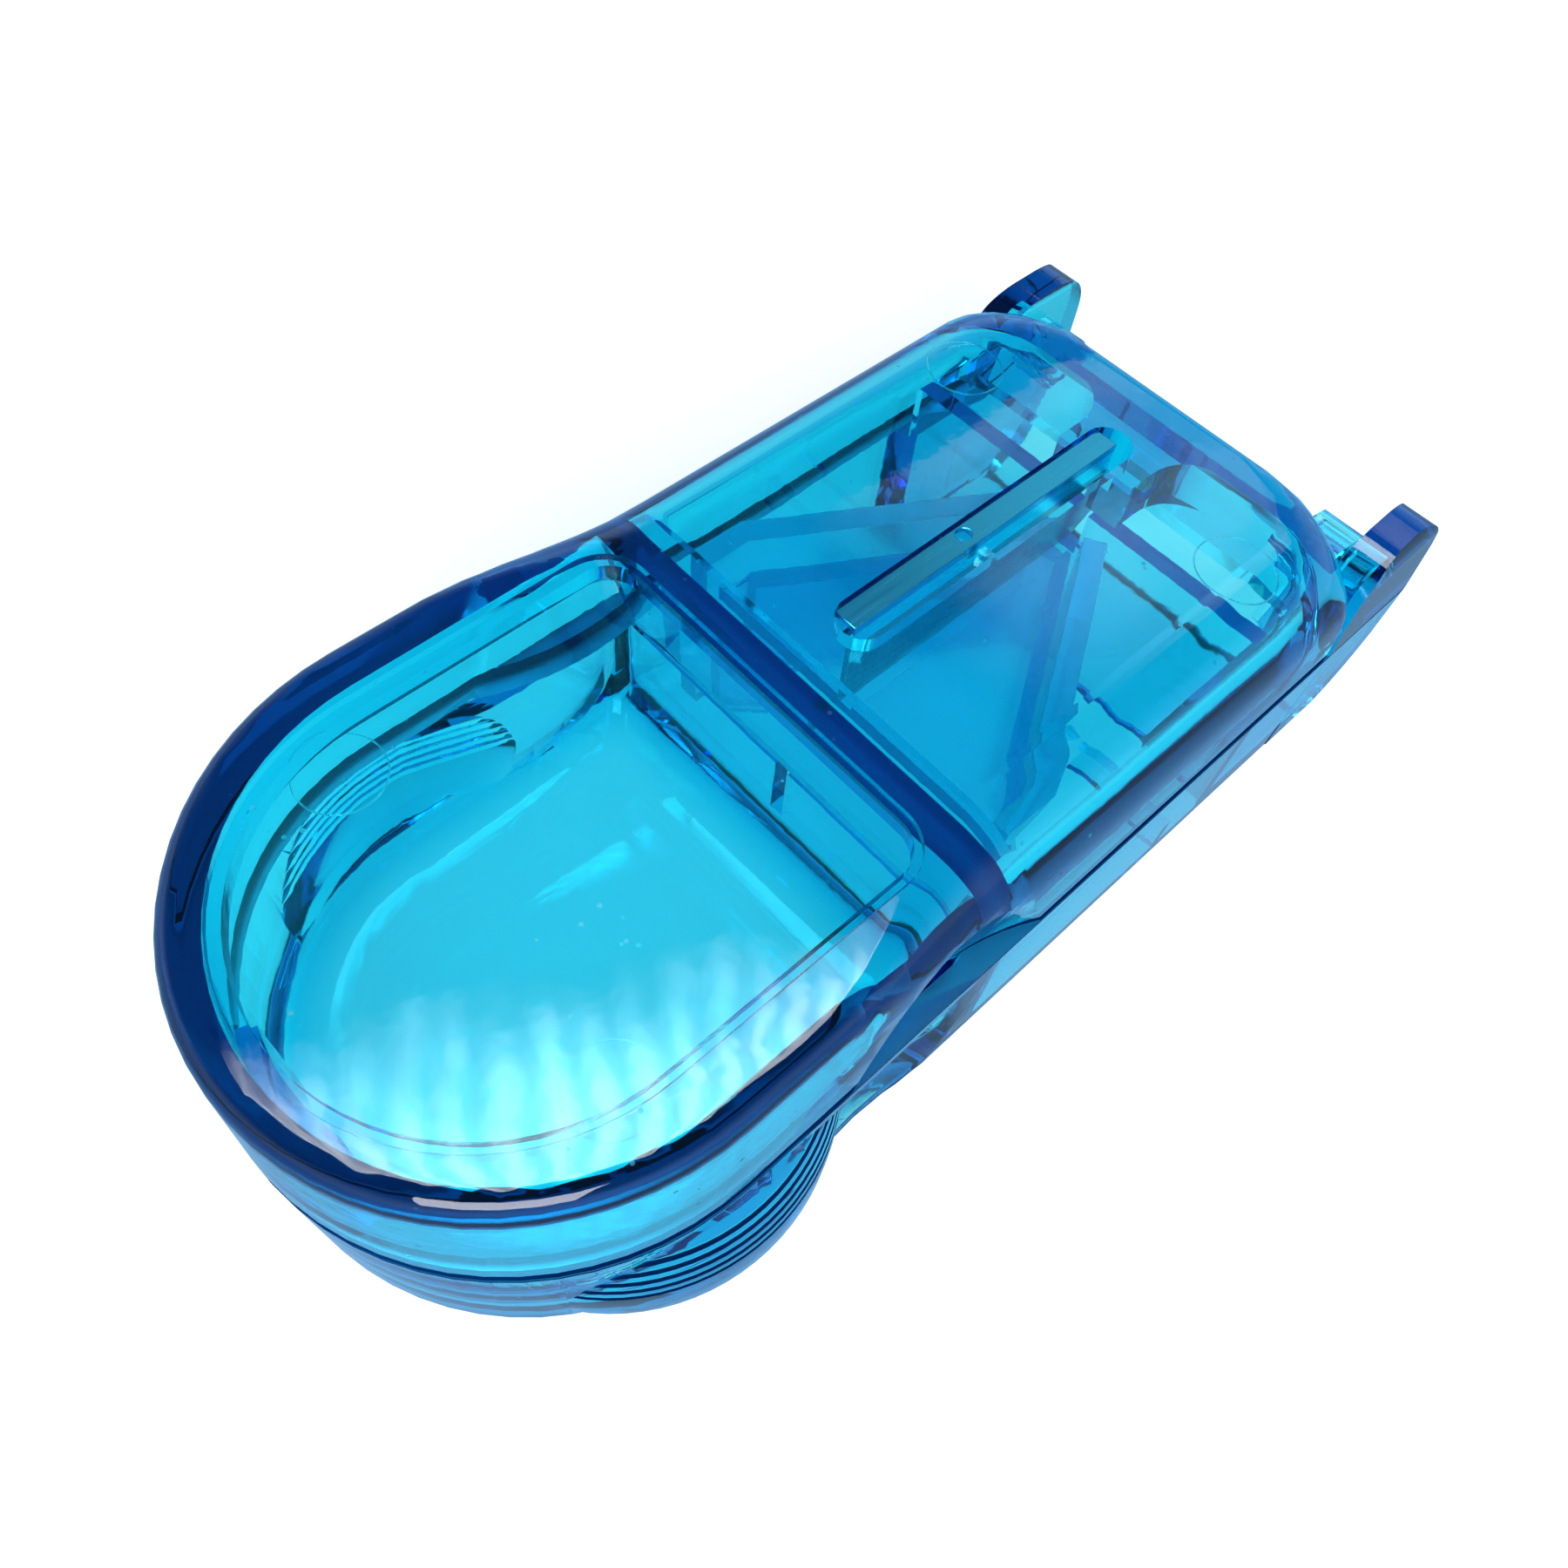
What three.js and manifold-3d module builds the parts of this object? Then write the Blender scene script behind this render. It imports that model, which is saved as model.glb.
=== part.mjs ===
import * as THREE from 'three';
import { mergeVertices } from 'three/addons/utils/BufferGeometryUtils.js';
import Module from 'manifold-3d';

// Pill splitter: nose tray with a hinged lid, V-shaped pill holder and one steel blade.
// Millimetres, +Z up, nose towards -Y, hinge towards +Y, bottom face at z = 0.

// Whole body
const HALF_WIDTH = 21.0;
const NOSE_Y = -27.0; // centre of the round nose
const SEAM_Z = 14.0;
const TOP_Z = 26.2;
const PART_GAP = 0.3;
const NOSE_STEPS = 32;

// Base tray
const BASE_TOP = SEAM_Z - PART_GAP / 2;
const BASE_WALL = 1.8;
const FLOOR_Z = 1.6;
const FLOOR_REAR_Y = 41.4;
const BOTTOM_EDGE_RADIUS = 1.2;
const STORE_FILLET = 4.5;
const DIVIDER_FRONT_Y = -4.8;
const DIVIDER_REAR_Y = -3.3;
const DIVIDER_TOP = 12.8;
const DIVIDER_SLIT = { width: 1.3, bottom: 6.8 };
const REAR_WALL = { front: 26.5, rear: 28.1, top: 19.2, halfWidth: 17.6 };
const BLADE_NOTCH = { halfWidth: 1.2, bottom: 14.9 };
const FLOOR_RIB = { y: 19.5, inner: 10.6, height: 3.2, thick: 1.0 };

// Ears that carry the lid hinge
const EAR_INNER_X = 17.2;
const EAR_FRONT_Y = 36.4;
const EAR_REAR_Y = 48.0;
const EAR_TOP = 22.7;
const EAR_TIP = 4.6; // length of the rounding at the upper rear corner
const EAR_STEP_Z = 16.6; // top of the ear's straight front edge
const HINGE = { y: 41.4, z: 17.8, knuckle: 2.65, ear: 4.8, bore: 1.6 };

// Thumb dents and ribbed grips
const BASE_DENT = { x: 31.0, y: -15.0, z: 10.0, radii: [12.0, 18.1, 21.7], top: 12.5 };
const GRIP = { x: 7.8, y: -26.5, flush: 13.0, proud: 2.5, fullZ: 5.0, lowZ: 2.6, bottom: 1.2, tuck: 0.9 };
const GRIP_RIB = { top: 11.6, pitch: 1.05, depth: 0.42, crest: 0.5, count: 5 };
const GRIP_SEGMENTS = 84;
const GRIP_ROOT = 6.0; // how far the bulge reaches into the body before it is hollowed
const LID_SCOOP = { radius: 20.3, x: 39.3, y: -9.0, lean: 0.17 };

// Lid
const LID_BOTTOM = SEAM_Z + PART_GAP / 2;
const LID_REAR_Y = 36.0;
const LID_REAR_EDGE_RADIUS = 1.2;
const LID_CORNER = { low: 0.8, growth: 6.0, fromZ: 18 }; // plan radius of the rear corners
const HOLLOW = { leastRadius: 0.8, corner: 4.5 };
const REAR_CUT_MARGIN = 1.9; // how far the rear wall's low cut passes the ears
const LID_WALL = 2.4;
const LID_DRAFT = 0.7;
const ROOF_UNDER = 24.0;
const ROOF_EDGE_RADIUS = 6.2;
const RIM_EDGE_RADIUS = 1.5;
const BLEND_FRONT_Y = -21.0;
const BLEND_REAR_Y = -3.0;
const REAR_WALL_INNER_Y = 33.6;
const REAR_WALL_BOTTOM = 16.5;
const WINDOW = { half: 15.2, noseY: -28.6, rearY: -7.7, corner: 2.6, face: 24.1, under: 22.6 };
const WINDOW_STEP = { width: 0.8, depth: 0.6 };
const CROSSBAR = { topFront: -7.7, topRear: -4.7, lowFront: -5.2, lowRear: -2.8 };
const KNUCKLE_X = [13.0, 16.8];
const KNUCKLE_ARC = [-0.6, 0.4]; // start and end of the knuckle's round end, in half turns
const KNUCKLE_ROOT_TOP = 22.6;

// Blade slot, the block behind it and the blade
const SLOT = { half: 1.9, frontY: -0.6, rearY: 29.6 };
const BLOCK = { half: 3.6, frontY: 26.6, bottom: 19.8, flare: 4.4 };
const LEDGE_Z = 25.1;
const SLOT_FLOOR = 22.4;
const SLOT_BRIDGE = { y: 12.9, width: 0.8, top: 25.4 };
const BLADE = {
  frontY: 0.4, rearY: 28.6, edgeZ: 15.8, topZ: 25.9, thick: 0.5,
  flange: 1.5, bevel: 1.6, corner: 2.0, holeY: 12.5, holeX: -0.95, hole: 0.62,
};

// Pill holder
const ARM_MITRE = 0.45; // bend offset of the inner face, in arm thicknesses
const ARM = { thick: 1.9, top: 18.7, foot: 1.9, outerX: 16.2, bendY: 5.2, frontY: 0.2, tipX: 3.8, tipY: 26.1 };
const BED = { top: 15.2, thick: 1.4, skirt: 1.1, frontY: 1.2, rearY: 26.1, groove: 0.7, grooveDepth: 0.5 };

// Latch and hinge pins
const LATCH = { outer: 18.2, inner: 17.0, halfAngle: 0.27, bottom: 7.2, top: 18.4 };
const PIN = { radius: 1.3, inner: 13.4, outer: 19.1 };
const PIN_POCKET_X = 19.4;

const CAVITY_MARGIN = 1.0;

const wasm = await Module();
wasm.setup();

/** Turns a three.js geometry into a manifold solid. */
function toSolid(geometry) {
  geometry.deleteAttribute('normal');
  geometry.deleteAttribute('uv');
  const merged = mergeVertices(geometry, 1e-4);
  const index = merged.index.array;
  return new wasm.Manifold(new wasm.Mesh({
    numProp: 3,
    vertProperties: new Float32Array(merged.attributes.position.array),
    triVerts: new Uint32Array(index),
  }));
}

/** Turns a manifold solid back into a three.js geometry. */
function toGeometry(solid) {
  const mesh = solid.getMesh();
  const geometry = new THREE.BufferGeometry();
  geometry.setAttribute('position', new THREE.BufferAttribute(new Float32Array(mesh.vertProperties), 3));
  geometry.setIndex(new THREE.BufferAttribute(new Uint32Array(mesh.triVerts), 1));
  geometry.computeVertexNormals();
  return geometry;
}

/** Box solid between two opposite corners. */
function box(low, high) {
  const size = low.map((value, axis) => high[axis] - value);
  const geometry = new THREE.BoxGeometry(...size);
  geometry.translate(...low.map((value, axis) => value + size[axis] / 2));
  return toSolid(geometry);
}

/** Box mirrored onto both sides of the centre plane. */
function boxPair(low, high) {
  const mirrored = box([-high[0], low[1], low[2]], [-low[0], high[1], high[2]]);
  return box(low, high).add(mirrored);
}

/** Prism of a plan outline between two heights. */
function prism(shape, low, high, curveSegments = 10) {
  const geometry = new THREE.ExtrudeGeometry(shape, {
    depth: high - low, bevelEnabled: false, curveSegments,
  });
  geometry.translate(0, 0, low);
  return toSolid(geometry);
}

/** Prism of a (y, z) side profile between two x positions. */
function sidePrism(shape, low, high, curveSegments = 10) {
  const geometry = new THREE.ExtrudeGeometry(shape, {
    depth: high - low, bevelEnabled: false, curveSegments,
  });
  geometry.applyMatrix4(new THREE.Matrix4().set(
    0, 0, 1, low,
    1, 0, 0, 0,
    0, 1, 0, 0,
    0, 0, 0, 1,
  ));
  return toSolid(geometry);
}

/** Cylinder along X at (y, z). */
function crossCylinder(radius, y, z, low, high, segments = 24) {
  const geometry = new THREE.CylinderGeometry(radius, radius, high - low, segments);
  geometry.rotateZ(Math.PI / 2);
  geometry.translate((low + high) / 2, y, z);
  return toSolid(geometry);
}

/** Ellipsoid solid from its centre and three radii. */
function ellipsoid(centre, radii, segments = 40) {
  const geometry = new THREE.SphereGeometry(1, segments, segments / 2);
  geometry.scale(...radii);
  geometry.translate(...centre);
  return toSolid(geometry);
}

/** Solid through a stack of matching rings, each a list of [x, y] at its own height. */
function loft(rings, heights) {
  const first = rings[0].map(([x, y]) => new THREE.Vector2(x, y));
  const geometry = new THREE.ExtrudeGeometry(new THREE.Shape(first), {
    depth: 1, steps: rings.length - 1, bevelEnabled: false,
  });
  const position = geometry.attributes.position;
  for (let vertex = 0; vertex < position.count; vertex += 1) {
    const x = position.getX(vertex);
    const y = position.getY(vertex);
    const level = Math.round(position.getZ(vertex) * (rings.length - 1));
    const at = first.findIndex((point) => Math.hypot(point.x - x, point.y - y) < 1e-5);
    position.setXYZ(vertex, ...rings[level][at], heights[level]);
  }
  return toSolid(geometry);
}

/** Inset of a quarter-round edge of the given radius that ends at height `end`. */
function edgeInset(radius, z, end) {
  const rise = Math.max(0, z - (end - radius));
  return radius - Math.sqrt(Math.max(0, radius * radius - rise * rise));
}

/** Points of an arc from one angle to another. */
function arcPoints(cx, cy, radius, from, to, steps) {
  return Array.from({ length: steps + 1 }, (_, step) => {
    const angle = from + (to - from) * (step / steps);
    return [cx + radius * Math.cos(angle), cy + radius * Math.sin(angle)];
  });
}

/**
 * Plan ring of the body: round nose, two sides and a straight rear edge.
 * `halfAt(y)` gives the half width along the sides.
 */
function bodyRing(halfAt, rearY, cornerRadius, stations) {
  const nose = arcPoints(0, NOSE_Y, halfAt(NOSE_Y), Math.PI, 2 * Math.PI, NOSE_STEPS);
  const right = stations.map((y) => [halfAt(y), y]);
  const cornerX = halfAt(rearY) - cornerRadius;
  const cornerY = rearY - cornerRadius;
  const corner = arcPoints(cornerX, cornerY, cornerRadius, 0, Math.PI / 2, 5);
  const mirror = ([x, y]) => [-x, y];
  return [
    ...nose, ...right, ...corner,
    ...corner.slice().reverse().map(mirror), ...right.slice().reverse().map(mirror),
  ];
}

const SIDE_STATIONS = [-23.5, -20, -17, -14, -11, -8, -5, -2, 6, 16, 26];

/** Edge radius of the lid roof at a station along the body: small at the rim, large behind it. */
function roofRadius(y) {
  const t = Math.min(1, Math.max(0, (y - BLEND_FRONT_Y) / (BLEND_REAR_Y - BLEND_FRONT_Y)));
  return RIM_EDGE_RADIUS + (ROOF_EDGE_RADIUS - RIM_EDGE_RADIUS) * t * t * (3 - 2 * t);
}

/** Half width of the lid's outer face at a station and height. */
function lidHalf(y, z) {
  const draft = LID_DRAFT * (z - SEAM_Z) / (TOP_Z - SEAM_Z);
  return HALF_WIDTH - draft - edgeInset(roofRadius(y), z, TOP_Z);
}

/** Outer body of the lid. */
function lidOuter() {
  const heights = [LID_BOTTOM, 18, 20, 21.4, 22.6, 23.6, 24.4, 25.0, 25.5, 25.9, 26.1, TOP_Z];
  const rings = heights.map((z) => {
    const rearY = LID_REAR_Y - edgeInset(LID_REAR_EDGE_RADIUS, z, TOP_Z);
    const rise = Math.max(0, z - LID_CORNER.fromZ) / (TOP_Z - LID_CORNER.fromZ);
    const corner = LID_CORNER.low + LID_CORNER.growth * rise;
    return bodyRing((y) => lidHalf(y, z), rearY, corner, SIDE_STATIONS);
  });
  return loft(rings, heights);
}

/** Hollow of the lid, one wall thickness inside its outer body. */
function lidHollow() {
  const heights = [LID_BOTTOM - CAVITY_MARGIN, 18, 20, 21.2, 22.2, 23.0, 23.6, ROOF_UNDER];
  const innerRadius = (y) => Math.max(HOLLOW.leastRadius, roofRadius(y) - LID_WALL);
  const rings = heights.map((z) => {
    const draft = LID_DRAFT * (z - SEAM_Z) / (TOP_Z - SEAM_Z);
    const halfAt = (y) => HALF_WIDTH - LID_WALL - draft - edgeInset(innerRadius(y), z, ROOF_UNDER);
    const rearY = REAR_WALL_INNER_Y - edgeInset(LID_REAR_EDGE_RADIUS, z, ROOF_UNDER);
    return bodyRing(halfAt, rearY, HOLLOW.corner, SIDE_STATIONS);
  });
  return loft(rings, heights);
}

/** Leaning cylinder that scoops one side of the lid; `extra` grows it for the inner wall. */
function lidScoop(side, extra) {
  const height = 40;
  const geometry = new THREE.CylinderGeometry(
    LID_SCOOP.radius + extra, LID_SCOOP.radius + extra, height, 96,
  );
  geometry.rotateX(Math.PI / 2);
  geometry.rotateY(Math.atan(LID_SCOOP.lean));
  geometry.translate(LID_SCOOP.x, LID_SCOOP.y, SEAM_Z);
  if (side < 0) geometry.rotateZ(Math.PI).translate(0, 2 * LID_SCOOP.y, 0);
  return toSolid(geometry);
}

/** Window outline, grown by `grow`. */
function windowShape(grow) {
  const half = WINDOW.half + grow;
  const corner = WINDOW.corner + grow;
  const rear = WINDOW.rearY + grow / 2;
  const shape = new THREE.Shape();
  shape.absarc(0, WINDOW.noseY, half, Math.PI, 2 * Math.PI);
  shape.lineTo(half, rear - corner);
  shape.absarc(half - corner, rear - corner, corner, 0, Math.PI / 2);
  shape.absarc(-half + corner, rear - corner, corner, Math.PI / 2, Math.PI);
  shape.closePath();
  return shape;
}

/** Slanted wall between the two lid compartments, as a full-width prism. */
function crossbar() {
  const shape = new THREE.Shape();
  shape.moveTo(CROSSBAR.lowFront, LID_BOTTOM);
  shape.lineTo(CROSSBAR.lowRear, LID_BOTTOM);
  shape.lineTo(CROSSBAR.topRear, TOP_Z);
  shape.lineTo(CROSSBAR.topFront, TOP_Z);
  shape.closePath();
  return sidePrism(shape, -HALF_WIDTH, HALF_WIDTH);
}

/** Block under the roof behind the blade, flared into the lid's rear wall. */
function rearBlock() {
  const shape = new THREE.Shape();
  const flareY = REAR_WALL_INNER_Y - BLOCK.flare;
  const flareX = BLOCK.half + BLOCK.flare;
  shape.moveTo(-BLOCK.half, BLOCK.frontY);
  shape.lineTo(BLOCK.half, BLOCK.frontY);
  shape.lineTo(BLOCK.half, flareY);
  shape.absarc(flareX, flareY, BLOCK.flare, Math.PI, Math.PI / 2, true);
  shape.lineTo(flareX, REAR_WALL_INNER_Y + CAVITY_MARGIN);
  shape.lineTo(-flareX, REAR_WALL_INNER_Y + CAVITY_MARGIN);
  shape.absarc(-flareX, flareY, BLOCK.flare, Math.PI / 2, 0, true);
  shape.closePath();
  return prism(shape, BLOCK.bottom, ROOF_UNDER + CAVITY_MARGIN, 6);
}

/** Round-ended slot through the roof, kept between two x positions. */
function slotPrism(left, right) {
  const half = SLOT.half;
  const shape = new THREE.Shape();
  shape.absarc(0, SLOT.frontY + half, half, Math.PI, 2 * Math.PI);
  shape.absarc(0, SLOT.rearY - half, half, 0, Math.PI);
  shape.closePath();
  return prism(shape, SLOT_FLOOR - 5, TOP_Z + CAVITY_MARGIN, 10)
    .intersect(box([left, SLOT.frontY - 1, SLOT_FLOOR - 5], [right, SLOT.rearY + 1, TOP_Z + 1]));
}

/** Everything cut away so that the blade can drop in from above. */
function bladeCut() {
  const reach = BLADE.thick / 2 + PART_GAP;
  const above = TOP_Z + CAVITY_MARGIN;
  const flangeRoom = slotPrism(-SLOT.half, SLOT.half)
    .intersect(box([-SLOT.half, SLOT.frontY, LEDGE_Z], [SLOT.half, SLOT.rearY, above]));
  const openHalf = slotPrism(-reach, SLOT.half)
    .intersect(box([-reach, SLOT.frontY, SLOT_FLOOR], [SLOT.half, SLOT.rearY, above]));
  const bridgeLow = [reach, SLOT_BRIDGE.y - SLOT_BRIDGE.width / 2, SLOT_FLOOR];
  const bridgeHigh = [SLOT.half, SLOT_BRIDGE.y + SLOT_BRIDGE.width / 2, SLOT_BRIDGE.top];
  const slit = box(
    [-reach, BLADE.frontY - PART_GAP, BLOCK.bottom - CAVITY_MARGIN],
    [reach, BLADE.rearY + PART_GAP, above],
  );
  return flangeRoom.add(openHalf).subtract(box(bridgeLow, bridgeHigh)).add(slit);
}

/** One hinge knuckle arm of the lid, as a side profile. */
function knuckleShape() {
  const shape = new THREE.Shape();
  const radius = HINGE.knuckle;
  const rootY = (REAR_WALL_INNER_Y + LID_REAR_Y) / 2;
  shape.moveTo(rootY, REAR_WALL_BOTTOM);
  shape.absarc(HINGE.y, HINGE.z, radius, KNUCKLE_ARC[0] * Math.PI, KNUCKLE_ARC[1] * Math.PI);
  shape.lineTo(rootY, KNUCKLE_ROOT_TOP);
  shape.closePath();
  return shape;
}

/** Lid cover. */
function lidCover() {
  const hollow = lidHollow()
    .subtract(crossbar())
    .subtract(box([-HALF_WIDTH, -60, WINDOW.under], [HALF_WIDTH, CROSSBAR.lowRear, TOP_Z]))
    .subtract(lidScoop(1, LID_WALL))
    .subtract(lidScoop(-1, LID_WALL))
    .subtract(rearBlock());
  let lid = lidOuter().subtract(lidScoop(1, 0)).subtract(lidScoop(-1, 0)).subtract(hollow);
  lid = lid.subtract(prism(windowShape(0), WINDOW.face, TOP_Z + CAVITY_MARGIN, 16));
  const stepFloor = TOP_Z - WINDOW_STEP.depth;
  lid = lid.subtract(prism(windowShape(WINDOW_STEP.width), stepFloor, TOP_Z + CAVITY_MARGIN, 16));
  lid = lid.subtract(box(
    [-HALF_WIDTH, REAR_WALL_INNER_Y - 0.01, LID_BOTTOM - 1],
    [HALF_WIDTH, LID_REAR_Y + 1, REAR_WALL_BOTTOM],
  ).intersect(box(
    [-EAR_INNER_X - REAR_CUT_MARGIN, 0, 0],
    [EAR_INNER_X + REAR_CUT_MARGIN, EAR_REAR_Y, TOP_Z],
  )));
  for (const side of [-1, 1]) {
    const xs = KNUCKLE_X.map((x) => x * side).sort((a, b) => a - b);
    lid = lid.add(sidePrism(knuckleShape(), xs[0], xs[1], 10));
  }
  lid = lid.subtract(bladeCut());
  return lid.subtract(crossCylinder(HINGE.bore, HINGE.y, HINGE.z, -HALF_WIDTH, HALF_WIDTH));
}

/** Outer body of the base up to the seam. */
function baseOuter() {
  const heights = [0, 0.35, 1.2, BASE_TOP];
  const insets = [1.0, 0.35, 0.05, 0];
  const rings = heights.map((_, level) => (
    bodyRing(() => HALF_WIDTH - insets[level], FLOOR_REAR_Y - insets[level], 1.5, [0])
  ));
  return loft(rings, heights);
}

/** Storage hollow with its large floor fillet. */
function storeHollow() {
  const heights = [FLOOR_Z, 1.75, 2.2, 2.9, 4.1, 6.1, BASE_TOP + CAVITY_MARGIN];
  const rings = heights.map((z) => {
    const depth = Math.max(0, FLOOR_Z + STORE_FILLET - z);
    const inset = STORE_FILLET - Math.sqrt(STORE_FILLET ** 2 - depth ** 2);
    const half = HALF_WIDTH - BASE_WALL - inset;
    return bodyRing(() => half, DIVIDER_FRONT_Y - inset, 1.6, [-16]);
  });
  return loft(rings, heights);
}

/** Rounded rectangle in plan. */
function roundedRect(half, front, rear, radius) {
  const shape = new THREE.Shape();
  shape.absarc(half - radius, front + radius, radius, -Math.PI / 2, 0);
  shape.absarc(half - radius, rear - radius, radius, 0, Math.PI / 2);
  shape.absarc(-half + radius, rear - radius, radius, Math.PI / 2, Math.PI);
  shape.absarc(-half + radius, front + radius, radius, Math.PI, 1.5 * Math.PI);
  shape.closePath();
  return shape;
}

/** Side profile of an ear with its round knuckle at the hinge. */
function earShape() {
  const shape = new THREE.Shape();
  shape.moveTo(EAR_FRONT_Y, 0.6);
  shape.lineTo(FLOOR_REAR_Y, 0.0);
  shape.quadraticCurveTo(EAR_REAR_Y - 1.2, 1.2, EAR_REAR_Y - 0.1, 8.0);
  shape.lineTo(EAR_REAR_Y, EAR_TOP - EAR_TIP);
  shape.quadraticCurveTo(EAR_REAR_Y, EAR_TOP - 0.2, EAR_REAR_Y - EAR_TIP, EAR_TOP);
  shape.lineTo(HINGE.y, HINGE.z + HINGE.ear);
  shape.absarc(HINGE.y, HINGE.z, HINGE.ear, Math.PI / 2, Math.PI);
  shape.lineTo(EAR_FRONT_Y, EAR_STEP_Z);
  shape.closePath();
  return shape;
}

/** Cross-section of the body behind the rim: straight sides and rounded roof edges. */
function bodySection() {
  const shape = new THREE.Shape();
  const radius = ROOF_EDGE_RADIUS;
  const top = HALF_WIDTH - LID_DRAFT * 0.6;
  shape.moveTo(-HALF_WIDTH + 1, 0);
  shape.lineTo(HALF_WIDTH - 1, 0);
  shape.lineTo(HALF_WIDTH, 1);
  shape.lineTo(HALF_WIDTH, SEAM_Z);
  shape.lineTo(top, TOP_Z - radius);
  shape.absarc(top - radius, TOP_Z - radius, radius, 0, Math.PI / 2);
  shape.absarc(-top + radius, TOP_Z - radius, radius, Math.PI / 2, Math.PI);
  shape.lineTo(-HALF_WIDTH, SEAM_Z);
  shape.lineTo(-HALF_WIDTH, 1);
  shape.closePath();
  return shape;
}

/** The two ears, trimmed to the rounded section of the body. */
function ears() {
  const geometry = new THREE.ExtrudeGeometry(bodySection(), {
    depth: 30, bevelEnabled: false, curveSegments: 10,
  });
  geometry.rotateX(Math.PI / 2);
  geometry.translate(0, 55, 0);
  const plates = sidePrism(earShape(), EAR_INNER_X, HALF_WIDTH, 14)
    .add(sidePrism(earShape(), -HALF_WIDTH, -EAR_INNER_X, 14));
  return plates.intersect(toSolid(geometry));
}

/** Radius of the grip bulge at a height: flush at the seam, fullest low down. */
function gripRadius(z) {
  const rise = Math.max(0, z - GRIP.fullZ) / (BASE_TOP - GRIP.fullZ);
  const tuck = Math.max(0, GRIP.lowZ - z) / (GRIP.lowZ - GRIP.bottom);
  return GRIP.flush + GRIP.proud * Math.cos(rise * Math.PI / 2) ** 0.8 - GRIP.tuck * tuck * tuck;
}

/** Half profile of the grip bulge, with its ribs between plain stretches. */
function gripProfile() {
  const point = (z, inset = 0) => new THREE.Vector2(gripRadius(z) - inset, z);
  const ribBottom = GRIP_RIB.top - GRIP_RIB.pitch * GRIP_RIB.count;
  const low = [GRIP.bottom, (GRIP.bottom + GRIP.lowZ) / 2, GRIP.lowZ, GRIP.fullZ, ribBottom].map((z) => point(z));
  const ribs = Array.from({ length: GRIP_RIB.count }, (_, rib) => {
    const start = ribBottom + rib * GRIP_RIB.pitch;
    const crestEnd = start + GRIP_RIB.pitch * GRIP_RIB.crest;
    const groove = (crestEnd + start + GRIP_RIB.pitch) / 2;
    return [point(crestEnd), point(groove, GRIP_RIB.depth), point(start + GRIP_RIB.pitch)];
  }).flat();
  const high = [(GRIP_RIB.top + BASE_TOP) / 2, BASE_TOP].map((z) => point(z));
  return [new THREE.Vector2(0, GRIP.bottom), ...low, ...ribs, ...high, new THREE.Vector2(0, BASE_TOP)];
}

/** Ribbed grip bulge of one side, turned about an upright axis. */
function grip(side) {
  const geometry = new THREE.LatheGeometry(gripProfile(), GRIP_SEGMENTS);
  geometry.rotateX(Math.PI / 2);
  geometry.translate(side * GRIP.x, GRIP.y, 0);
  const innerX = HALF_WIDTH - BASE_WALL - GRIP_ROOT;
  const outer = [side * innerX, side * (HALF_WIDTH + 5)].sort((a, b) => a - b);
  return toSolid(geometry).intersect(box([outer[0], -50, 0], [outer[1], 0, BASE_TOP]));
}

/** Thumb dent of one side of the base; `extra` grows it for the inner wall. */
function baseDent(side, extra) {
  const centre = [side * BASE_DENT.x, BASE_DENT.y, BASE_DENT.z];
  return ellipsoid(centre, BASE_DENT.radii.map((radius) => radius + extra))
    .intersect(box([-HALF_WIDTH - 20, -60, -20], [HALF_WIDTH + 20, 60, BASE_DENT.top + extra / 2]));
}

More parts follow.
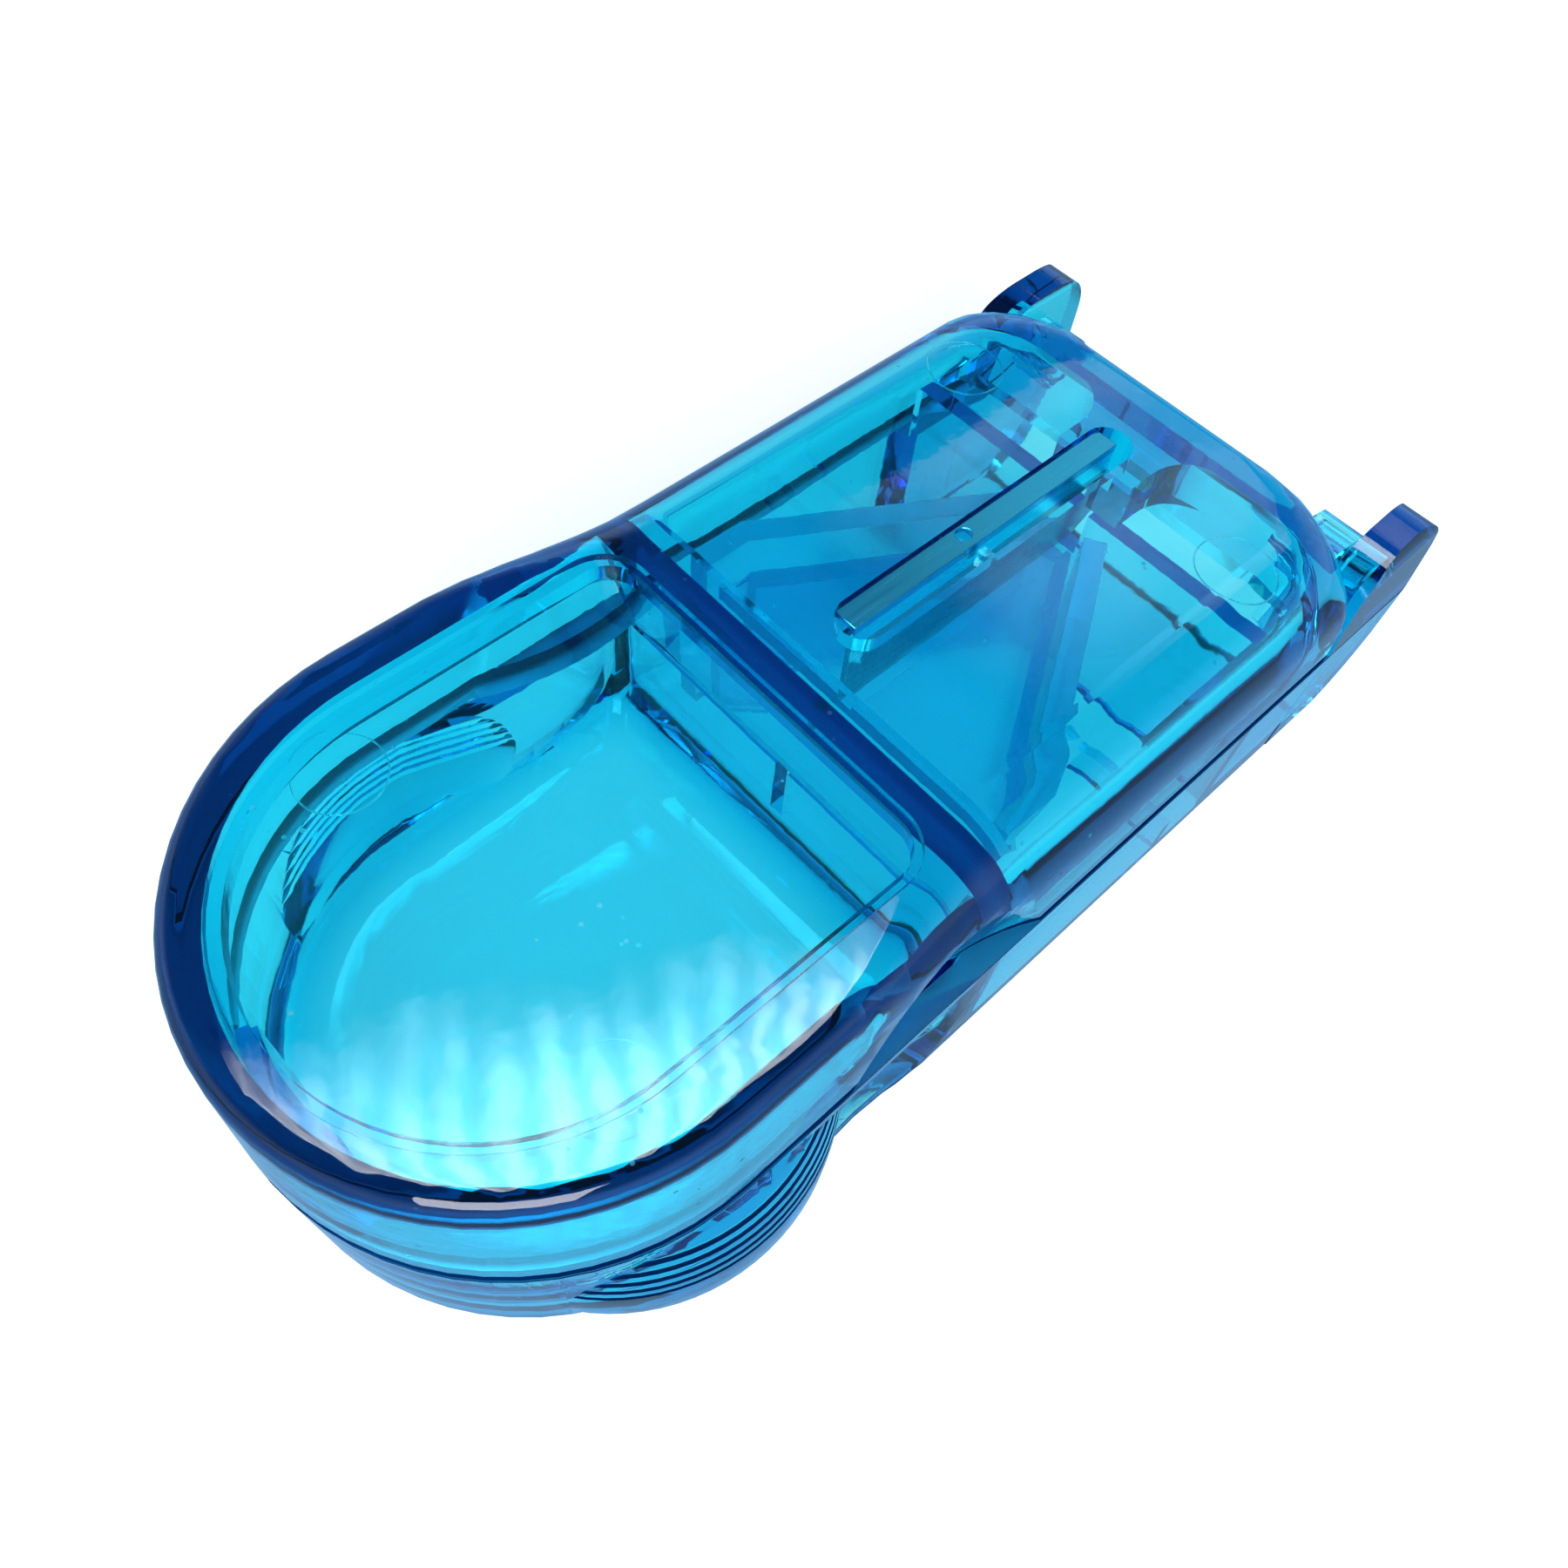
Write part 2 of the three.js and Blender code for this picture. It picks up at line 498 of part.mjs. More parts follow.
/** Base tray. */
function baseTray() {
  const store = storeHollow().subtract(baseDent(1, BASE_WALL)).subtract(baseDent(-1, BASE_WALL));
  const cutting = prism(
    roundedRect(HALF_WIDTH - BASE_WALL, DIVIDER_REAR_Y, REAR_WALL.front, 1.2),
    FLOOR_Z, BASE_TOP + CAVITY_MARGIN, 4,
  ).subtract(baseDent(1, BASE_WALL)).subtract(baseDent(-1, BASE_WALL));
  const hingeBay = box(
    [-EAR_INNER_X, REAR_WALL.rear, FLOOR_Z], [EAR_INNER_X, FLOOR_REAR_Y + 5, BASE_TOP + CAVITY_MARGIN],
  );
  let base = baseOuter().subtract(baseDent(1, 0)).subtract(baseDent(-1, 0));
  base = base.add(grip(1).add(grip(-1)));
  base = base.add(ears()).subtract(store).subtract(cutting).subtract(hingeBay);
  base = base.subtract(box(
    [-HALF_WIDTH + BASE_WALL + 1.5, DIVIDER_FRONT_Y - 0.2, DIVIDER_TOP],
    [HALF_WIDTH - BASE_WALL - 1.5, DIVIDER_REAR_Y + 0.2, BASE_TOP + 1],
  ));
  base = base.subtract(box(
    [-DIVIDER_SLIT.width / 2, DIVIDER_FRONT_Y - 0.5, DIVIDER_SLIT.bottom],
    [DIVIDER_SLIT.width / 2, DIVIDER_REAR_Y + 0.5, BASE_TOP + 1],
  ));
  base = base.add(box(
    [-REAR_WALL.halfWidth, REAR_WALL.front, FLOOR_Z - 0.5],
    [REAR_WALL.halfWidth, REAR_WALL.rear, REAR_WALL.top],
  ));
  base = base.subtract(box(
    [-BLADE_NOTCH.halfWidth, REAR_WALL.front - 1, BLADE_NOTCH.bottom],
    [BLADE_NOTCH.halfWidth, REAR_WALL.rear + 1, REAR_WALL.top + 1],
  ));
  base = base.add(boxPair(
    [FLOOR_RIB.inner, FLOOR_RIB.y, FLOOR_Z - 0.5],
    [HALF_WIDTH - BASE_WALL + 0.5, FLOOR_RIB.y + FLOOR_RIB.thick, FLOOR_Z + FLOOR_RIB.height],
  ));
  base = base.subtract(crossCylinder(HINGE.bore, HINGE.y, HINGE.z, EAR_INNER_X - 1, PIN_POCKET_X));
  return base.subtract(crossCylinder(HINGE.bore, HINGE.y, HINGE.z, -PIN_POCKET_X, -EAR_INNER_X + 1));
}

/** Direction along the slanted part of the left arm, from bend to tip. */
function armDirection() {
  return new THREE.Vector2(ARM.outerX - ARM.tipX, ARM.tipY - ARM.bendY).normalize();
}

/** Plan outline of a pill arm: a straight front part, then the slanted wall. */
function armShape(side) {
  const along = armDirection();
  const across = new THREE.Vector2(along.y, -along.x).multiplyScalar(ARM.thick);
  const innerX = ARM.outerX - ARM.thick;
  const outline = [
    [ARM.outerX, ARM.frontY],
    [innerX, ARM.frontY],
    [innerX, ARM.bendY - ARM.thick * ARM_MITRE],
    [ARM.tipX - across.x, ARM.tipY + across.y],
    [ARM.tipX, ARM.tipY],
    [ARM.outerX, ARM.bendY],
  ];
  return new THREE.Shape(outline.map(([x, y]) => new THREE.Vector2(side * x, y)));
}

/** One arm of the V, notched over the floor rib; the bed's skirt stands just inside it. */
function pillArm(side) {
  const notch = boxPair(
    [FLOOR_RIB.inner - PART_GAP, FLOOR_RIB.y - PART_GAP, 0],
    [HALF_WIDTH, FLOOR_RIB.y + FLOOR_RIB.thick + PART_GAP, FLOOR_Z + FLOOR_RIB.height + PART_GAP],
  );
  return prism(armShape(side), ARM.foot, ARM.top).subtract(notch);
}

/** Plan outline of the bed, `inset` further in than its skirt's outer face. */
function bedShape(inset) {
  const along = armDirection();
  const slope = along.x / along.y;
  const offset = (ARM.thick + PART_GAP + inset) / along.y;
  const edgeX = (y) => ARM.tipX + (ARM.tipY - y) * slope - offset;
  const rearY = BED.rearY - inset;
  const widest = ARM.outerX - ARM.thick - PART_GAP - inset;
  const bendY = ARM.tipY - (widest + offset - ARM.tipX) / slope;
  const shape = new THREE.Shape();
  shape.moveTo(-widest, BED.frontY + inset);
  shape.lineTo(widest, BED.frontY + inset);
  shape.lineTo(widest, bendY);
  shape.lineTo(edgeX(rearY), rearY);
  shape.lineTo(-edgeX(rearY), rearY);
  shape.lineTo(-widest, bendY);
  shape.closePath();
  return shape;
}

/** Pill bed: a deck on a thin skirt, grooved under the blade, open at the front. */
function pillBed() {
  let bed = prism(bedShape(0), ARM.foot, BED.top);
  bed = bed.subtract(prism(bedShape(BED.skirt), ARM.foot - 1, BED.top - BED.thick));
  bed = bed.subtract(box([-20, -5, ARM.foot - 1], [20, BED.frontY + 3, BED.top - BED.thick]));
  return bed.subtract(box(
    [-BED.groove, BED.frontY - 1, BED.top - BED.grooveDepth],
    [BED.groove, BED.rearY + 1, BED.top + 1],
  ));
}

/** Blade: folded flange on top, vertical leg with a bevelled edge. */
function blade() {
  const half = BLADE.thick / 2;
  const leg = new THREE.Shape();
  leg.moveTo(BLADE.frontY, BLADE.edgeZ);
  leg.lineTo(BLADE.rearY - BLADE.corner, BLADE.edgeZ);
  leg.lineTo(BLADE.rearY, BLADE.edgeZ + BLADE.corner);
  leg.lineTo(BLADE.rearY, BLADE.topZ);
  leg.lineTo(BLADE.frontY, BLADE.topZ);
  leg.closePath();
  const section = new THREE.Shape();
  section.moveTo(-0.05, BLADE.edgeZ);
  section.lineTo(0.05, BLADE.edgeZ);
  section.lineTo(half, BLADE.edgeZ + BLADE.bevel);
  section.lineTo(half, BLADE.topZ);
  section.lineTo(-half - BLADE.flange, BLADE.topZ);
  section.lineTo(-half - BLADE.flange, BLADE.topZ - BLADE.thick);
  section.lineTo(-half, BLADE.topZ - BLADE.thick);
  section.lineTo(-half, BLADE.edgeZ + BLADE.bevel);
  section.closePath();
  const bar = new THREE.ExtrudeGeometry(section, { depth: 40, bevelEnabled: false });
  bar.rotateX(Math.PI / 2);
  bar.translate(0, 36, 0);
  const hole = new THREE.CylinderGeometry(BLADE.hole, BLADE.hole, 2, 24);
  hole.rotateX(Math.PI / 2);
  hole.translate(BLADE.holeX, BLADE.holeY, BLADE.topZ);
  return toSolid(bar).intersect(sidePrism(leg, -3, 3)).subtract(toSolid(hole));
}

/** Curved tongue standing inside the nose. */
function latchTongue() {
  const middle = 1.5 * Math.PI;
  const shape = new THREE.Shape();
  shape.absarc(0, NOSE_Y, LATCH.outer, middle - LATCH.halfAngle, middle + LATCH.halfAngle);
  shape.absarc(0, NOSE_Y, LATCH.inner, middle + LATCH.halfAngle, middle - LATCH.halfAngle, true);
  shape.closePath();
  return prism(shape, LATCH.bottom, LATCH.top, 10);
}

/** Hinge pin of one side. */
function hingePin(side) {
  const ends = [side * PIN.inner, side * PIN.outer].sort((a, b) => a - b);
  return crossCylinder(PIN.radius, HINGE.y, HINGE.z, ends[0], ends[1]);
}

/** Blue moulded plastic. */
function bluePlastic() {
  return new THREE.MeshStandardMaterial({ color: 0x18a9de, roughness: 0.12, metalness: 0 });
}

/** Ground blade steel. */
function bladeSteel() {
  return new THREE.MeshStandardMaterial({ color: 0xaab2b8, roughness: 0.25, metalness: 1 });
}

const model = new THREE.Group();

/** Adds one named piece to the model. */
function addPiece(name, solid, material) {
  const mesh = new THREE.Mesh(toGeometry(solid), material);
  mesh.name = name;
  model.add(mesh);
}

addPiece('base_tray', baseTray(), bluePlastic());
addPiece('pill_bed', pillBed(), bluePlastic());
addPiece('pill_arm_left', pillArm(-1), bluePlastic());
addPiece('pill_arm_right', pillArm(1), bluePlastic());
addPiece('latch_tongue', latchTongue(), bluePlastic());
addPiece('hinge_pin_left', hingePin(-1), bluePlastic());
addPiece('hinge_pin_right', hingePin(1), bluePlastic());
addPiece('lid_cover', lidCover(), bluePlastic());
addPiece('blade', blade(), bladeSteel());

export default model;
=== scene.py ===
"""Looks of the pill splitter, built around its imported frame.

Every piece is dressed in the frame's own metres: +Z up, nose towards -Y, hinge towards +Y.
"""
import logging
import math
from dataclasses import dataclass, field
from enum import Enum, IntEnum

import bmesh
import bpy
from mathutils import Matrix, Vector


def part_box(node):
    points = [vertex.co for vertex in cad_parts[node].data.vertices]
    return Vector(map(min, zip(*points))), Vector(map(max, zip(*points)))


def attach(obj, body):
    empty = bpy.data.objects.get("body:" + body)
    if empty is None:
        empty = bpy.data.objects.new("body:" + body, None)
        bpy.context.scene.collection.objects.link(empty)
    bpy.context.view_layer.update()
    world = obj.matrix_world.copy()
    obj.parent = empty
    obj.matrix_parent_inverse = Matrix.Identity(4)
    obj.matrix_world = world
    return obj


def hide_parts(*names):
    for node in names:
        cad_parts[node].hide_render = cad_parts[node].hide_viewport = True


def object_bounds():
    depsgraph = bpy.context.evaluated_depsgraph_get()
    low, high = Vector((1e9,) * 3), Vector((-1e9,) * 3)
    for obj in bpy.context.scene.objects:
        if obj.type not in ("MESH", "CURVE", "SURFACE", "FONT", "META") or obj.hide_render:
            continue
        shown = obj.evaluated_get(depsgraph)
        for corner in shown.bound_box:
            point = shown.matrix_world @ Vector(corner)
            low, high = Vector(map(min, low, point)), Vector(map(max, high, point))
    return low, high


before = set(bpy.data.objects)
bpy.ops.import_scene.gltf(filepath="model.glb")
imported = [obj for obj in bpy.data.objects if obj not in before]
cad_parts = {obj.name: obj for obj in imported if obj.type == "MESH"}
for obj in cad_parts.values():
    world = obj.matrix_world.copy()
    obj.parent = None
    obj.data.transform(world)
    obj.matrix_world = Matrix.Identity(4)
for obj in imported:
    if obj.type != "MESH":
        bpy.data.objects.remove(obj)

log = logging.getLogger("pill_splitter")

MM = 0.001
CAD_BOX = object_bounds()
NOSE_CENTRE_Y = CAD_BOX[0].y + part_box("lid_cover")[1].x
MERGE_DISTANCE = 0.002 * MM
FULL_TURN = 2.0 * math.pi

Colour = tuple[float, float, float]


class Body(Enum):
    """The two bodies that the hinge joins."""

    BASE = "base"
    LID = "lid"


class Finish(IntEnum):
    """Places of the finishes on a piece that has a parting face."""

    # The first is painted shade on the parting edge and the grip grooves; the second is the rough
    # parting face.
    EDGE_SHADE = 1
    FROST = 2


# ------------------------------------------------------------------------------- shader parts


def group_tree(
    name: str, inputs: dict[str, float], outputs: tuple[str, ...]
) -> bpy.types.NodeTree:
    """Makes an empty shader node group with float inputs and outputs.

    Args:
        name: Name of the group.
        inputs: Input names with their default values.
        outputs: Output names.

    Returns:
        The group, with its input and output nodes in place.
    """
    tree = bpy.data.node_groups.new(name, "ShaderNodeTree")
    for label, value in inputs.items():
        socket = tree.interface.new_socket(label, in_out="INPUT", socket_type="NodeSocketFloat")
        socket.default_value = value
    for label in outputs:
        tree.interface.new_socket(label, in_out="OUTPUT", socket_type="NodeSocketFloat")
    tree.nodes.new("NodeGroupInput").name = "in"
    tree.nodes.new("NodeGroupOutput").name = "out"
    return tree


def place_group(tree: bpy.types.NodeTree, group: bpy.types.NodeTree) -> bpy.types.Node:
    """Places a shader node group in a material's tree.

    Args:
        tree: The material's tree.
        group: The group.

    Returns:
        The group's node.
    """
    node = tree.nodes.new("ShaderNodeGroup")
    node.node_tree = group
    return node


def object_place(tree: bpy.types.NodeTree) -> bpy.types.NodeSocket:
    """Place of a point on its object, in metres."""
    return tree.nodes.new("ShaderNodeTexCoord").outputs["Object"]


def split_axes(tree: bpy.types.NodeTree, vector: bpy.types.NodeSocket) -> bpy.types.Node:
    """Splits a vector into its X, Y and Z.

    Args:
        tree: Tree that gets the node.
        vector: The vector.

    Returns:
        The splitting node.
    """
    part = tree.nodes.new("ShaderNodeSeparateXYZ")
    tree.links.new(vector, part.inputs["Vector"])
    return part


def noise(
    tree: bpy.types.NodeTree,
    vector: bpy.types.NodeSocket,
    scale: float | bpy.types.NodeSocket,
    detail: float,
) -> bpy.types.NodeSocket:
    """Adds a noise texture.

    Args:
        tree: Tree that gets the texture.
        vector: Place that the noise is read at.
        scale: Scale of the noise, as a number or a socket.
        detail: Number of finer octaves.

    Returns:
        The noise, from 0 to 1.
    """
    node = tree.nodes.new("ShaderNodeTexNoise")
    if isinstance(scale, bpy.types.NodeSocket):
        tree.links.new(scale, node.inputs["Scale"])
    else:
        node.inputs["Scale"].default_value = scale
    node.inputs["Detail"].default_value = detail
    tree.links.new(vector, node.inputs["Vector"])
    return node.outputs["Fac"]


def math_node(
    tree: bpy.types.NodeTree, operation: str, *values: float | bpy.types.NodeSocket
) -> bpy.types.NodeSocket:
    """Adds a math node fed by sockets or numbers.

    Args:
        tree: Tree that gets the node.
        operation: Blender's name of the operation.
        values: Up to three sockets or numbers.

    Returns:
        The node's output.
    """
    node = tree.nodes.new("ShaderNodeMath")
    node.operation = operation
    for socket, value in zip(node.inputs, values):
        if isinstance(value, bpy.types.NodeSocket):
            tree.links.new(value, socket)
        else:
            socket.default_value = value
    return node.outputs[0]


def blend(
    tree: bpy.types.NodeTree,
    factor: bpy.types.NodeSocket,
    first: Colour | bpy.types.NodeSocket,
    second: Colour | bpy.types.NodeSocket,
) -> bpy.types.NodeSocket:
    """Blends two colours.

    Args:
        tree: Tree that gets the node.
        factor: Share of the second colour.
        first: The first colour, as numbers or a socket.
        second: The second colour, as numbers or a socket.

    Returns:
        The blended colour.
    """
    node = tree.nodes.new("ShaderNodeMix")
    node.data_type = "RGBA"
    tree.links.new(factor, node.inputs["Factor"])
    for label, colour in (("A", first), ("B", second)):
        if isinstance(colour, bpy.types.NodeSocket):
            tree.links.new(colour, node.inputs[label])
        else:
            node.inputs[label].default_value = (*colour, 1.0)
    return node.outputs["Result"]


def smooth_fade(
    tree: bpy.types.NodeTree, value: bpy.types.NodeSocket, start: float, end: float
) -> bpy.types.NodeSocket:
    """Fades smoothly from 0 to 1 between two values.

    Args:
        tree: Tree that gets the node.
        value: The value to fade on.
        start: Value where the fade is 0.
        end: Value where the fade is 1.

    Returns:
        The fade.
    """
    node = tree.nodes.new("ShaderNodeMapRange")
    node.interpolation_type = "SMOOTHSTEP"
    node.inputs["From Min"].default_value = start
    node.inputs["From Max"].default_value = end
    tree.links.new(value, node.inputs["Value"])
    return node.outputs["Result"]


def ripple(
    tree: bpy.types.NodeTree, shader: bpy.types.Node, height: bpy.types.NodeSocket,
    strength: float, depth: float,
) -> None:
    """Ripples a shader's surface.

    Args:
        tree: Tree that holds the shader.
        shader: The shader.
        height: Height of the ripple, from 0 to 1.
        strength: Strength of the ripple.
        depth: Depth of the ripple, in metres.
    """
    bump = tree.nodes.new("ShaderNodeBump")
    bump.inputs["Strength"].default_value = strength
    bump.inputs["Distance"].default_value = depth
    tree.links.new(height, bump.inputs["Height"])
    tree.links.new(bump.outputs["Normal"], shader.inputs["Normal"])


def emission(tree: bpy.types.NodeTree, colour: Colour) -> bpy.types.Node:
    """Adds an emission shader.

    Args:
        tree: Tree that gets the shader.
        colour: Colour of the light.

    Returns:
        The shader's node.
    """
    glow = tree.nodes.new("ShaderNodeEmission")
    glow.inputs["Color"].default_value = (*colour, 1.0)
    return glow


def mix_shaders(
    tree: bpy.types.NodeTree, factor: bpy.types.NodeSocket,
    first: bpy.types.NodeSocket, second: bpy.types.NodeSocket,
) -> bpy.types.NodeSocket:
    """Mixes two shaders.

    Args:
        tree: Tree that gets the node.
        factor: Share of the second shader.
        first: The first shader's output.
        second: The second shader's output.

    Returns:
        The mixed shader.
    """
    mix = tree.nodes.new("ShaderNodeMixShader")
    tree.links.new(factor, mix.inputs["Fac"])
    tree.links.new(first, mix.inputs[1])
    tree.links.new(second, mix.inputs[2])
    return mix.outputs["Shader"]


def new_material(name: str) -> tuple[bpy.types.Material, bpy.types.NodeTree]:
    """Makes a material with its plain shader.

    Args:
        name: Name of the material.

    Returns:
        The material and its tree.
    """
    material = bpy.data.materials.new(name)
    material.use_nodes = True
    return material, material.node_tree


@dataclass(frozen=True)
class MouldedSurface:
    """Surface of moulded plastic: slow flow streaks, fine orange peel and sparse specks of dust.

    Attributes:
        streak_scale: Scale of the streaks.
        peel_scale: Scale of the orange peel.
        streak_height: Height of the streaks against that of the peel.
        speck_scale: Scale of the specks.
        speck_radius: Radius of a speck, in cells of the speck pattern.
        patch_scale: Scale of the patches where specks lie.
        patch_least: Least noise of such a patch.
        dust: Roughness that a speck adds.
    """

    streak_scale: float = 60.0
    peel_scale: float = 900.0
    streak_height: float = 1.5
    speck_scale: float = 520.0
    speck_radius: float = 0.09
    patch_scale: float = 130.0
    patch_least: float = 0.62
    dust: float = 0.3

    def build(self) -> bpy.types.NodeTree:
        """Builds the group.

        Returns:
            The group, with outputs "Streak", "Height" and "Haze".
        """
        inputs = {
            "Streak Scale": self.streak_scale, "Peel Scale": self.peel_scale, "Dust": self.dust,
        }
        tree = group_tree("moulded_surface", inputs, ("Streak", "Height", "Haze"))
        given, result = tree.nodes["in"].outputs, tree.nodes["out"].inputs
        place = object_place(tree)
        streak = noise(tree, place, given["Streak Scale"], 3.0)
        peel = noise(tree, place, given["Peel Scale"], 1.0)
        specks = tree.nodes.new("ShaderNodeTexVoronoi")
        specks.inputs["Scale"].default_value = self.speck_scale
        tree.links.new(place, specks.inputs["Vector"])
        near = math_node(tree, "LESS_THAN", specks.outputs["Distance"], self.speck_radius)
        patch = noise(tree, place, self.patch_scale, 1.0)
        rare = math_node(tree, "GREATER_THAN", patch, self.patch_least)
        speck = math_node(tree, "MULTIPLY", near, rare)
        height = math_node(tree, "MULTIPLY_ADD", streak, self.streak_height, peel)
        tree.links.new(streak, result["Streak"])
        tree.links.new(height, result["Height"])
        tree.links.new(math_node(tree, "MULTIPLY", speck, given["Dust"]), result["Haze"])
        return tree


@dataclass(frozen=True)
class GroundSurface:
    """Surface of ground steel: fine parallel lines along the blade and faint stains.

    Attributes:
        line_scale: Scale of the lines across them.
        stretch: Scale along each axis, so that the lines run along Y.
        stain_scale: Scale of the stains.
    """

    line_scale: float = 4000.0
    stretch: tuple[float, float, float] = (1.0, 0.03, 1.0)
    stain_scale: float = 220.0

    def build(self) -> bpy.types.NodeTree:
        """Builds the group.

        Returns:
            The group, with outputs "Lines" and "Stain".
        """
        inputs = {"Line Scale": self.line_scale, "Stain Scale": self.stain_scale}
        tree = group_tree("ground_steel", inputs, ("Lines", "Stain"))
        given, result = tree.nodes["in"].outputs, tree.nodes["out"].inputs
        place = object_place(tree)
        drawn = tree.nodes.new("ShaderNodeVectorMath")
        drawn.operation = "MULTIPLY"
        drawn.inputs[1].default_value = self.stretch
        tree.links.new(place, drawn.inputs[0])
        tree.links.new(noise(tree, drawn.outputs[0], given["Line Scale"], 2.0), result["Lines"])
        tree.links.new(noise(tree, place, given["Stain Scale"], 4.0), result["Stain"])
        return tree


# ----------------------------------------------------------------------------------- finishes


@dataclass(frozen=True)
class ClearTint:
    """Translucent moulded plastic: a clear skin over a tinted body that swallows red first.

    Attributes:
        name: Name of the material.
        swallow: Light lost per millimetre of plastic in red, green and blue.
        skin: Colours of the skin between which flow streaks move.
        rough: Lowest and highest roughness.
        clear: Share of the light that enters the body; the rest is scattered by a milky skin.
        bend: Index of refraction.
        peel: Strength of the surface ripple.
        peel_depth: Depth of the surface ripple, in metres.
        shade: Tint that each wall gives to a lamp's light.
        deepest: Share of the volume's density that the most swallowed colour takes.
    """

    name: str
    swallow: Colour = (0.9, 0.095, 0.036)
    skin: tuple[Colour, Colour] = ((0.90, 0.98, 1.0), (0.97, 1.0, 1.0))
    rough: tuple[float, float] = (0.015, 0.05)
    clear: float = 1.0
    bend: float = 1.49
    peel: float = 0.02
    peel_depth: float = 0.2 * MM
    shade: Colour = (0.93, 0.97, 0.98)
    deepest: float = 0.98

    def build(self, surface: bpy.types.NodeTree) -> bpy.types.Material:
        """Builds the material.

        Args:
            surface: The moulded surface group.

        Returns:
            The material.
        """
        material, tree = new_material(self.name)
        tree.nodes.clear()
        detail = place_group(tree, surface).outputs
        shader = tree.nodes.new("ShaderNodeBsdfPrincipled")
        shader.inputs["Transmission Weight"].default_value = self.clear
        shader.inputs["IOR"].default_value = self.bend
        tree.links.new(blend(tree, detail["Streak"], *self.skin), shader.inputs["Base Color"])
        low, high = self.rough
        smear = math_node(tree, "MULTIPLY_ADD", detail["Streak"], high - low, low)
        tree.links.new(math_node(tree, "ADD", smear, detail["Haze"]), shader.inputs["Roughness"])
        ripple(tree, shader, detail["Height"], self.peel, self.peel_depth)
        end = tree.nodes.new("ShaderNodeOutputMaterial")
        tree.links.new(self.let_lamps_through(tree, shader), end.inputs["Surface"])
        tree.links.new(self.tinted_body(tree), end.inputs["Volume"])
        return material

    def let_lamps_through(
        self, tree: bpy.types.NodeTree, shader: bpy.types.Node
    ) -> bpy.types.NodeSocket:
        """Lets light from lamps and from the floor pass the skin, so that shadows are tinted.

        Args:
            tree: The material's tree.
            shader: The skin's shader.

        Returns:
            The skin with that light let through.
        """
        path = tree.nodes.new("ShaderNodeLightPath").outputs
        lamp = math_node(tree, "MAXIMUM", path["Is Shadow Ray"], path["Is Diffuse Ray"])
        clear = tree.nodes.new("ShaderNodeBsdfTransparent")
        clear.inputs["Color"].default_value = (*self.shade, 1.0)
        return mix_shaders(tree, lamp, shader.outputs["BSDF"], clear.outputs["BSDF"])

    def tinted_body(self, tree: bpy.types.NodeTree) -> bpy.types.NodeSocket:
        """Adds the absorption of the tinted body.

        Args:
            tree: The material's tree.

        Returns:
            The body's volume shader.
        """
        density = max(self.swallow) / self.deepest
        volume = tree.nodes.new("ShaderNodeVolumeAbsorption")
        volume.inputs["Density"].default_value = density / MM
        kept = (1.0 - part / density for part in self.swallow)
        volume.inputs["Color"].default_value = (*kept, 1.0)
        return volume.outputs["Volume"]


@dataclass(frozen=True)
class PaintedEdgeShade:
    """The parting edge, painted nearly black-blue: painted shade that stands in for the dark look
    of the gap and of the whole depth of the walls.

    Attributes:
        name: Name of the material.
        deep: Its main colour, the painted shade.
        glint: Colour of its rare lighter streaks in the painted shade.
        rarity: Power that makes the lighter streaks rare.
        rough: Its roughness where it is clean.
    """

    name: str = "painted_edge_shade"
    deep: Colour = (0.0, 0.006, 0.05)
    glint: Colour = (0.0, 0.05, 0.2)
    rarity: float = 3.0
    rough: float = 0.55

    def build(self, surface: bpy.types.NodeTree) -> bpy.types.Material:
        """Builds the material.

        Args:
            surface: The moulded surface group.

        Returns:
            The material.
        """
        material, tree = new_material(self.name)
        shader = tree.nodes["Principled BSDF"]
        detail = place_group(tree, surface).outputs
        rare = math_node(tree, "POWER", detail["Streak"], self.rarity)
        # Painted shade: nearly black-blue, with rare lighter streaks.
        tree.links.new(blend(tree, rare, self.deep, self.glint), shader.inputs["Base Color"])
        rough = math_node(tree, "ADD", detail["Haze"], self.rough)
        tree.links.new(rough, shader.inputs["Roughness"])
        shader.inputs["Specular IOR Level"].default_value = 0.0
        return material


